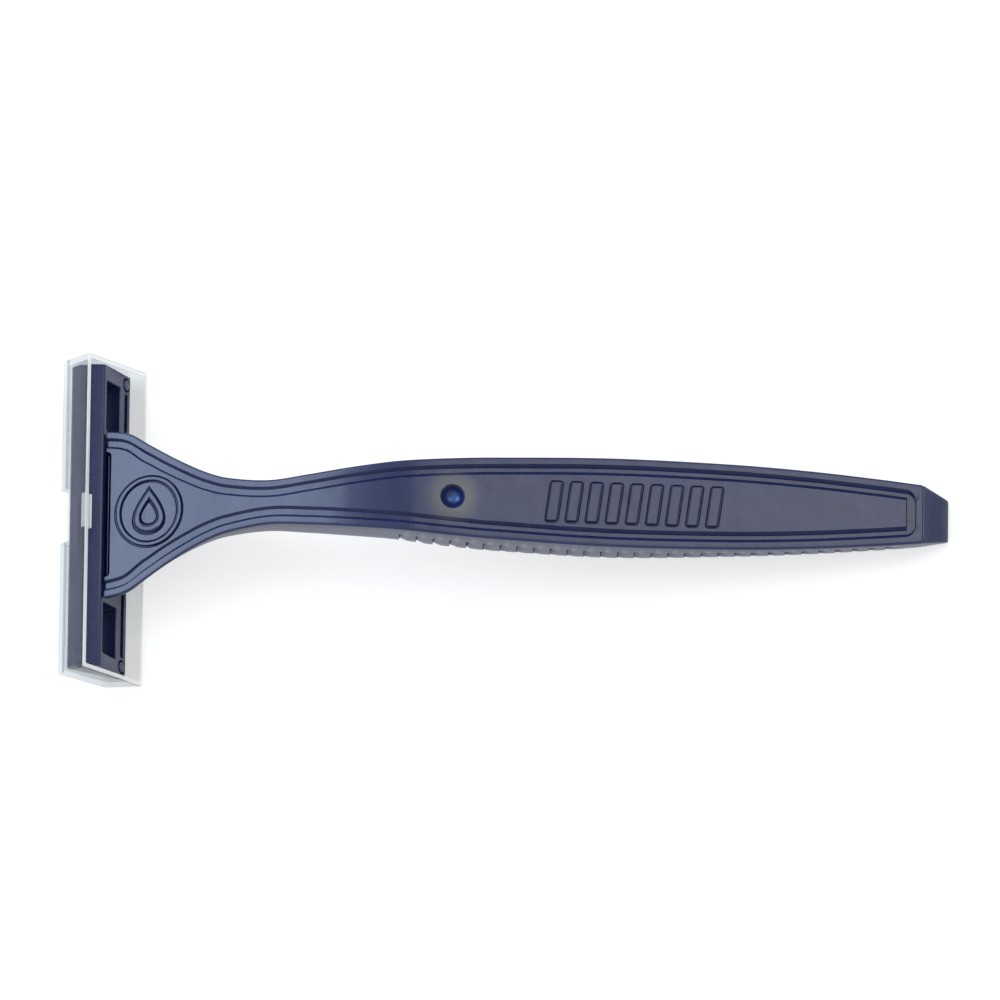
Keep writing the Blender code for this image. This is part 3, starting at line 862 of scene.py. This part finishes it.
handle = {
    # x, half width, top, thickness, upright part of the side
    "stations": [
        (0.00, 11.40, -3.50, 4.50, 0.60), (2.70, 11.32, -2.52, 5.48, 0.60),
        (5.30, 10.74, -1.52, 6.08, 0.60), (7.95, 9.04, -0.50, 4.60, 0.66),
        (10.55, 7.38, 0.50, 3.40, 0.70), (13.20, 5.86, 1.40, 2.80, 1.05),
        (15.80, 4.58, 2.25, 2.95, 1.65), (18.40, 3.72, 3.10, 3.40, 2.15),
        (23.70, 3.02, 4.88, 4.40, 3.30), (28.90, 3.42, 6.62, 5.20, 3.90),
        (34.20, 4.00, 8.20, 5.80, 4.30), (39.40, 4.54, 9.26, 6.35, 4.50),
        (42.00, 4.77, 9.42, 6.77, 4.80), (44.70, 5.00, 9.27, 7.25, 5.10),
        (48.50, 5.27, 8.94, 7.48, 5.22), (52.50, 5.50, 8.53, 7.64, 5.30),
        (68.30, 6.00, 7.02, 7.00, 5.00),
        (84.00, 5.80, 5.55, 6.00, 3.30), (94.50, 5.29, 4.57, 5.45, 2.55),
        (104.00, 4.52, 3.68, 5.02, 1.95), (108.60, 4.06, 3.25, 4.59, 1.67),
    ],
    "tailEdge": (109.60, 3.96, 3.15),
    "tailTip": (113.00, 2.80, 0.10),
    "tailShift": -0.14,          # the tip lies a little to the near side
    "tailSide": (1.57, 0.75),
    # x after the edge, share of the way to the tip, shrink
    "tailFront": ((-0.3, 0, 0), (-0.12, 0, 0), (-0.04, 0, 0.07), (0.05, 0.01, 0.07),
                  (0.15, 0.04, 0), (0.3, 0.088, 0), (1.2, 0.353, 0), (2.4, 0.706, 0)),
    "tailBack": ((-0.25, 0.926, 0), (-0.07, 0.979, 0.06), (0, 1, 0.22)),  # x after the tip
    "seatGap": 0.30,
    "shearEnd": 11.0,            # the front rings lean with the seat up to here
    "step": 0.5,
    "flare": 0.06,               # tall sides widen downwards by this slope
    "flareFrom": 1.9,            # sides lower than this narrow instead
    "bellyFlat": 0.45,
    "fanBelly": (9.0, 18.0),     # the fan is thin at its sides up to here
    "fanBellyPower": 1.8,
    "rail": 1.00,
    "channel": 1.35,
    "channelDepth": (0.36, 0.47),  # in the fan and in the grip
    "channelWall": (0.29, 0.42),  # how far its walls lean over, the same
    "channelGrows": (24.0, 60.0),
    "edge": 0.28,                # rounding of the top edge
    "panelEnd": 107.5,
    "channelEnd": 108.6,
    "channelCorner": 1.2,
    "ribs": 30,
    "ribStart": 39.8,
    "ribPitch": 2.2,
    "ribDepth": 0.45,
    "ribTop": 0.48,              # where on the side the grooves begin
    "ribEnd": 0.78,              # where they begin to fade
    "ribLow": 0.22,              # what is left of them at the side's lower edge
    "ribLowFirst": 0.65,         # the same for the first few
    "ribOpen": 50.0,
    "ribCrest": 0.5,             # shares of the pitch: end of the crest, end of the drop
    "ribDrop": 0.56,
}


# Height of the table under the lying razor, in the razor's own frame
def tableLevel(x):
    return lie["keel"][1] + tan(lie["turn"]) * (x - lie["keel"][0])


# Depth of the grip grooves at x: flat crest, short drop, long ramp back
def ribCut(x):
    phase = (x - handle["ribStart"]) / handle["ribPitch"]
    if phase < 0 or phase > handle["ribs"]:
        return 0.0
    phase -= int(phase)
    crest = handle["ribCrest"]
    drop = handle["ribDrop"]
    if phase < crest:
        return 0.0
    if phase < drop:
        return handle["ribDepth"] * (phase - crest) / (drop - crest)
    return handle["ribDepth"] * (1 - phase) / (1 - drop)


# Right half of the section, from the middle of the top to the middle of the belly
def handleSection(x, half, top, thick, side, slope, shrink=0.0):
    lean = sqrt(1 + slope * slope)
    share = easeStep(*handle["channelGrows"], x)
    depth = handle["channelDepth"][0] * (1 - share) + handle["channelDepth"][1] * share
    wall = handle["channelWall"][0] * (1 - share) + handle["channelWall"][1] * share
    rail = half - handle["rail"] * lean
    panel = rail - handle["channel"] * lean
    start = handle["channelEnd"] - handle["channelCorner"]
    if x > start:
        inside = min(x - start, handle["channelCorner"])
        rail -= handle["channelCorner"] - sqrt(handle["channelCorner"] ** 2 - inside ** 2)
    if x > handle["channelEnd"]:
        rail = half * 0.443
    if x > handle["panelEnd"]:
        panel = min(panel, rail * 0.6)
    panelDip = depth * easeStep(handle["panelEnd"] - 0.14, handle["panelEnd"], x)
    floorDip = depth
    if x > handle["channelEnd"]:
        over = easeStep(handle["channelEnd"], handle["channelEnd"] + 0.14, x)
        panelDip = floorDip = depth * (1 - over)
        wall = 0.1
    half -= shrink
    top -= shrink
    panelTop = top - panelDip
    floor = top - floorDip
    step = 0.2 * (panelTop - floor)
    rise = 0.2 * (top - floor)
    points = [(0, panelTop), (panel * 0.3, panelTop), (panel * 0.6, panelTop),
              (panel * 0.85, panelTop), (panel - 0.05, panelTop), (panel + 0.01, panelTop - step),
              (panel + wall - 0.05, floor + step), (panel + wall + 0.02, floor),
              ((panel + rail) / 2, floor),
              (rail - wall - 0.02, floor), (rail - wall + 0.05, floor + rise),
              (rail - 0.01, top - rise), (rail + 0.05, top), ((rail + half) / 2, top)]
    edge = handle["edge"]
    for k in range(5):
        angle = k / 4 * pi / 2
        points.append((half - edge * (1 - sin(angle)), top - edge * (1 - cos(angle))))
    groove = ribCut(x)
    widen = (side - handle["flareFrom"]) * handle["flare"]
    low = handle["ribLow"] if x > handle["ribOpen"] else handle["ribLowFirst"]
    cutTop = edge + (side - edge) * handle["ribTop"]
    cutEnd = side * handle["ribEnd"]
    for down, cut in ((cutTop - 0.08, 0), (cutTop + 0.08, 1), ((cutTop + cutEnd) / 2, 1),
                      (cutEnd, 1)):
        points.append((half + widen * down / side - groove * cut, top - down))
    bellyTop = half + widen
    flat = handle["bellyFlat"] * half
    first, last = handle["fanBelly"]
    share = min(max((last - x) / (last - first), 0.0), 1.0)
    power = 1 + (handle["fanBellyPower"] - 1) * share
    for k in range(10):
        angle = k / 9 * pi / 2
        across = max(cos(angle), 0) ** power
        drop = sin(angle) ** power
        y = flat + (bellyTop - flat) * across - groove * low * across
        z = top - side - (thick - side - shrink) * drop + groove * drop
        points.append((y, z))
    points.append((flat * 0.5, points[-1][1]))
    points.append((0, points[-1][1]))
    return points


# Whole ring. Near the head it leans with the seat's back face
def handleRing(x, section):
    front = handle["frontX"]
    shear = 1 - easeStep(front, handle["shearEnd"], x)
    top = section[0][1]
    ring = []
    for y, z in section:
        ring.append((x + shear * (top - z) * tan(head["lean"]), y, z))
    left = [(px, -y, z) for px, y, z in ring[-2:0:-1]]
    return ring + left


def outlineSlope(x):
    step = 0.05
    stations = handle["stations"]
    return (blendTable(stations, x + step)[0] - blendTable(stations, x - step)[0]) / (2 * step)


# Where the fan's top meets the seat's back face, a gap short of it
def frontStart():
    x = 2.7
    for i in range(20):
        z = blendTable(handle["stations"], x)[1]
        x = (head["topBack"][0] + (head["topBack"][1] - z) * tan(head["lean"])
             + handle["seatGap"] / cos(head["lean"]))
    return x


def handlePositions():
    xs = []
    x = handle["frontX"] + 0.14
    while x < handle["ribStart"] - 0.2:
        xs.append(x)
        x += handle["step"]
    for i in range(handle["ribs"]):
        for phase in (0, 0.17, 0.34, 0.4999, 0.56, 0.72, 0.88):
            xs.append(handle["ribStart"] + (i + phase) * handle["ribPitch"])
    xs.append(handle["ribStart"] + handle["ribs"] * handle["ribPitch"])
    for end in (handle["panelEnd"], handle["channelEnd"]):
        xs += [end - 0.14, end - 0.07, end, end + 0.07, end + 0.14]
    corner = handle["channelEnd"] - handle["channelCorner"]
    xs += [corner + handle["channelCorner"] * sin(k / 8 * pi / 2) for k in range(8)]
    xs = sorted(x for x in xs if x < handle["channelEnd"] + 0.2)
    return [x for x, after in zip(xs, xs[1:] + [1e9]) if after - x > 0.01]


# Height of the brand face at x
def raisedPanel(x):
    return blendTable(handle["stations"], x)[1]


def makeHandleBody():
    handle["frontX"] = frontStart()
    rings = []
    x = handle["frontX"]
    values = blendTable(handle["stations"], x)
    rings.append(handleRing(x, handleSection(x, *values, outlineSlope(x), 0.12)))
    for x in handlePositions():
        lastX = handle["stations"][-1][0]
        values = blendTable(handle["stations"], min(x, lastX))
        slope = outlineSlope(min(x, lastX))
        if x > lastX:
            values[0] += (x - lastX) * slope
            values[1] -= (x - lastX) * 0.1
        if x > lastX - 0.01:
            values[2] = values[1] - tableLevel(x)
        rings.append(handleRing(x, handleSection(x, *values, slope)))
    x0, half0, top0 = handle["tailEdge"]
    x1, half1, top1 = handle["tailTip"]
    side0, side1 = handle["tailSide"]
    levels = [(x0 + x, share, shrink) for x, share, shrink in handle["tailFront"]]
    levels += [(x1 + x, share, shrink) for x, share, shrink in handle["tailBack"]]
    for x, share, shrink in levels:
        half = half0 + (half1 - half0) * share
        top = top0 + (top1 - top0) * share
        if x < x0:
            half = half0 + (x0 - x) * 0.1
            top = top0 + (x0 - x) * 0.09
        side = side0 + (side1 - side0) * share
        ring = handleRing(x, handleSection(x, half, top, top - tableLevel(x), side, 0, shrink))
        rings.append([(px, py + handle["tailShift"] * share, pz) for px, py, pz in ring])
    tip = (x1, handle["tailShift"], top1 - 0.6)
    return addPiece("handleMoulding", meshFromRings("handle", rings, tip=tip))


# Raised marks on the brand face
marks = {
    "height": 0.26,
    "root": 0.40,                # how far a mark reaches into the handle
    "moat": 0.20,                # groove round each mark
    "moatDepth": 0.22,
    "ringAt": (8.0, -0.1),
    "ringHalf": (4.37, 4.75),
    "ringBand": 0.62,
    "dropHalf": (2.75, 3.05),
    "dropInner": 0.56,
    "barStart": 61.2,
    "barEnd": 82.25,
    "bars": 9,
    "barWidth": 1.5,
    "barTall": 5.4,
    "barShift": -0.2,
    "barSlant": 0.13,
}


def onFace(x, y, lift):
    return (x, y, raisedPanel(x) + lift)


def joinMeshes(name, parts):
    bm = bmesh.new()
    for part in parts:
        bm.from_mesh(part)
        bpy.data.meshes.remove(part)
    mesh = bpy.data.meshes.new(name)
    bm.to_mesh(mesh)
    bm.free()
    return mesh


# Loop between two closed outlines, with (share of the width, lift) points across it
def loopBand(name, outer, inner, across):
    rings = []
    for (xo, yo), (xi, yi) in zip(outer, inner):
        rings.append([onFace(xo + (xi - xo) * share, yo + (yi - yo) * share, lift)
                      for share, lift in across])
    return meshFromRings(name, rings, closed=True)


def raisedBand(name, outer, inner):
    height = marks["height"]
    return loopBand(name, outer, inner, (
        (0, -marks["root"]), (0.16, height - 0.06), (0.26, height), (0.74, height),
        (0.84, height - 0.06), (1, -marks["root"])))


def moatBand(name, outer, inner):
    depth = marks["moatDepth"]
    return loopBand(name, outer, inner, (
        (0, 1.0), (0, 0.0), (0.17, -depth), (0.83, -depth), (1, 0.0), (1, 1.0)))


# Slanted bar with rounded corners, through (lift, growth) levels
def slantedBar(xc, levels):
    width = marks["barWidth"] / 2
    tall = marks["barTall"] / 2
    rings = []
    for lift, grow in levels:
        corners = [(-width - grow, -tall - grow), (width + grow, -tall - grow),
                   (width + grow, tall + grow), (-width - grow, tall + grow)]
        ring = []
        for x, y in roundOff(corners, 0.3 + grow, 5):
            ring.append(onFace(xc + x + y * marks["barSlant"], y + marks["barShift"], lift))
        rings.append(ring)
    return meshFromRings("bar", rings)


def ringPoints(grow, count=120):
    xc, yc = marks["ringAt"]
    rx, ry = marks["ringHalf"]
    return [(xc + (rx + grow) * cos(2 * pi * i / count), yc + (ry + grow) * sin(2 * pi * i / count))
            for i in range(count)]


# Water drop with its tip towards +y
def dropPoints(size, count=96):
    xc, yc = marks["ringAt"]
    wide, tall = marks["dropHalf"]
    points = []
    for i in range(count):
        t = 2 * pi * (i + 0.5) / count
        x = wide * sin(t) * abs(sin(t / 2)) ** 1.25
        y = tall * cos(t)
        points.append((xc + x * size, yc + (y + 0.55) * size - 0.42))
    return points


dimple = {"x": 47.9, "radius": 1.64, "lift": 0.1}
slit = {"half": 8.5, "length": 1.05, "depth": 1.5, "lipFrom": 0.36, "lipTo": 0.56, "lipDown": 0.5}


# Long slot with round ends between the seat and the fan
def slitTool():
    x0 = handle["frontX"]
    corners = [(x0 - 1.5, -slit["half"]), (x0 + slit["length"] - 0.3, -slit["half"]),
               (x0 + slit["length"] - 0.3, slit["half"]), (x0 - 1.5, slit["half"])]
    outline = roundOff(corners, [0, 0.55, 0.55, 0], 6)
    z = raisedPanel(x0)
    return meshFromRings("slit", [[(x, y, z + lift) for x, y in outline]
                                  for lift in (-slit["depth"], 2.0)])


def makeHandle():
    piece = makeHandleBody()
    print("handle body", len(piece.data.polygons), "faces")
    carve(piece, slitTool())
    front = handle["frontX"] + slit["lipFrom"]
    back = handle["frontX"] + slit["lipTo"]
    top = raisedPanel(handle["frontX"]) - slit["lipDown"]
    low = raisedPanel(handle["frontX"]) - slit["depth"] - 0.3
    lip = roundOff([(front, low), (back, low), (back, top), (front, top)], [0, 0, 0.07, 0.07], 3)
    reach = slit["half"] - 0.35
    carve(piece, meshFromRings("lip", barRings(lip, -reach, reach, 0.05)), "UNION")
    u0, u1 = seat["tenon"]
    reach = seat["tenonHalf"] - 0.3
    carve(piece, stackBox(u0 + 0.3, u1 - 0.3, -1.5, seat["tenonDepth"] - 0.3, -reach, reach), "UNION")

    ball = bmesh.new()
    bmesh.ops.create_uvsphere(ball, u_segments=48, v_segments=32, radius=dimple["radius"] * millimetre)
    mesh = bpy.data.meshes.new("dimple")
    ball.to_mesh(mesh)
    ball.free()
    centre = place(dimple["x"], 0, raisedPanel(dimple["x"]) + dimple["lift"])
    mesh.transform(Matrix.Translation(centre))
    carve(piece, mesh)
    print("handle carved")

    band = marks["ringBand"]
    moat = marks["moat"]
    hollow = marks["dropInner"]
    span = (marks["barEnd"] - marks["barStart"]) / (marks["bars"] - 1)
    places = [marks["barStart"] + span * i for i in range(marks["bars"])]
    groove = [(-marks["moatDepth"], moat * 0.2), (0.0, moat), (1.0, moat)]
    carve(piece, joinMeshes("moats", [
        moatBand("ringMoat", ringPoints(moat), ringPoints(-band - moat)),
        moatBand("dropMoat", dropPoints(1.11), dropPoints(hollow * 0.82))]
        + [slantedBar(x, groove) for x in places]))
    height = marks["height"]
    body = [(-marks["root"], 0.02), (height - 0.06, -0.12), (height, -0.19)]
    carve(piece, joinMeshes("marks", [
        raisedBand("ring", ringPoints(0), ringPoints(-band)),
        raisedBand("drop", dropPoints(1.0), dropPoints(hollow))]
        + [slantedBar(x, body) for x in places]), "UNION")
    shade(piece, 30)
    dress(piece, handlePlastic, "razor", "handle_plastic", "handle")
    print("handle marks done", len(piece.data.polygons), "faces")


makeHandle()


studio = {
    "floor": (0.52, 0.52, 0.52),
    "floorGlow": 0.60,           # a light table
    "floorHalf": 4.0,
    "floorDrop": 0.00005,
    "zenith": (0.80, 0.81, 0.82),
    "horizon": (0.42, 0.43, 0.46),
    "skyStops": (0.05, 0.55),
    "backdrop": (0.90, 0.91, 0.92),  # what the camera sees behind the floor
    "pictureWide": 131.2336,     # mm of the razor across the picture
    "pictureMiddle": (54.1207, 1.1745),  # mm right of and above the section frame's origin
    "tilt": radians(15),
    "roll": radians(0.768),
    "distance": 3.0,
    "sensor": 36.0,
    # name, direction, distance, size, watts, colour
    "lamps": (
        ("softLeft", (-0.69, 0.26, 0.67), 0.8, (0.45, 0.5), 3.8, (0.66, 0.83, 1.0)),
        ("softTop", (0.467, 0.281, 0.84), 1.0, (0.4, 0.5), 1.6, (1.0, 0.99, 0.87)),
    ),
}


def makeFloor():
    bm = bmesh.new()
    bmesh.ops.create_grid(bm, x_segments=8, y_segments=8, size=studio["floorHalf"])
    mesh = bpy.data.meshes.new("studioFloor")
    bm.to_mesh(mesh)
    bm.free()
    floor = addPiece("studioFloor", mesh)
    floor.location.z = cadLow.z - studio["floorDrop"]
    material, tree, shader = startMaterial("studio_floor")
    shader.inputs["Base Color"].default_value = (*studio["floor"], 1)
    shader.inputs["Roughness"].default_value = 0.9
    shader.inputs["Specular IOR Level"].default_value = 0.1
    shader.inputs["Emission Color"].default_value = (1, 1, 1, 1)
    shader.inputs["Emission Strength"].default_value = studio["floorGlow"]
    mesh.materials.append(material)


def makeLamp(name, direction, distance, size, power, colour):
    data = bpy.data.lights.new(name, "AREA")
    data.shape = "RECTANGLE"
    data.size = size[0]
    data.size_y = size[1]
    data.energy = power
    data.color = colour
    lamp = bpy.data.objects.new(name, data)
    bpy.context.scene.collection.objects.link(lamp)
    aim = Vector(direction).normalized()
    lamp.location = aim * distance
    lamp.rotation_mode = "QUATERNION"
    lamp.rotation_quaternion = aim.to_track_quat("Z", "Y")
    lamp.visible_camera = False


def sectionDirection(x, y, z):
    a, c = turned(x, z)
    return Vector((a, y, c))


# Long lens, so that the view is nearly parallel, tilted towards the near side
def makeCamera():
    data = bpy.data.cameras.new("camera")
    camera = bpy.data.objects.new("camera", data)
    bpy.context.scene.collection.objects.link(camera)
    toCamera = sectionDirection(0, -sin(studio["tilt"]), cos(studio["tilt"]))
    right = sectionDirection(1, 0, 0)
    up = sectionDirection(0, cos(studio["tilt"]), sin(studio["tilt"]))
    roll = studio["roll"]
    pictureRight = right * cos(roll) + up * sin(roll)
    pictureUp = up * cos(roll) - right * sin(roll)
    across, above = studio["pictureMiddle"]
    target = place(0, 0, 0) + (pictureRight * across + pictureUp * above) * millimetre
    # the aim point is kept at the razor's middle height
    middle = (cadLow.z + cadHigh.z) / 2
    target += toCamera * ((middle - target.z) / toCamera.z)
    data.sensor_width = studio["sensor"]
    data.lens = studio["sensor"] * studio["distance"] / (studio["pictureWide"] * millimetre)
    data.clip_start = 0.1
    data.clip_end = 20
    camera.matrix_world = Matrix.Translation(target + toCamera * studio["distance"]) @ Matrix(
        (pictureRight, pictureUp, toCamera)).transposed().to_4x4()
    bpy.context.scene.camera = camera


# Sky that darkens towards the horizon
def makeWorld():
    world = bpy.data.worlds.new("studio")
    bpy.context.scene.world = world
    world.use_nodes = True
    tree = world.node_tree
    where = addNode(tree, "ShaderNodeTexCoord").outputs["Generated"]
    height = feed(tree, "ShaderNodeSeparateXYZ", where).outputs["Z"]
    stops = list(zip(studio["skyStops"], (studio["horizon"], studio["zenith"])))
    camera = addNode(tree, "ShaderNodeLightPath").outputs["Is Camera Ray"]
    seen = blend(tree, camera, ramp(tree, height, stops), studio["backdrop"])
    tree.links.new(seen, tree.nodes["Background"].inputs["Color"])


makeFloor()
makeWorld()
for lamp in studio["lamps"]:
    makeLamp(*lamp)
makeCamera()
bpy.context.scene.view_settings.view_transform = "Standard"
print("studio ready")
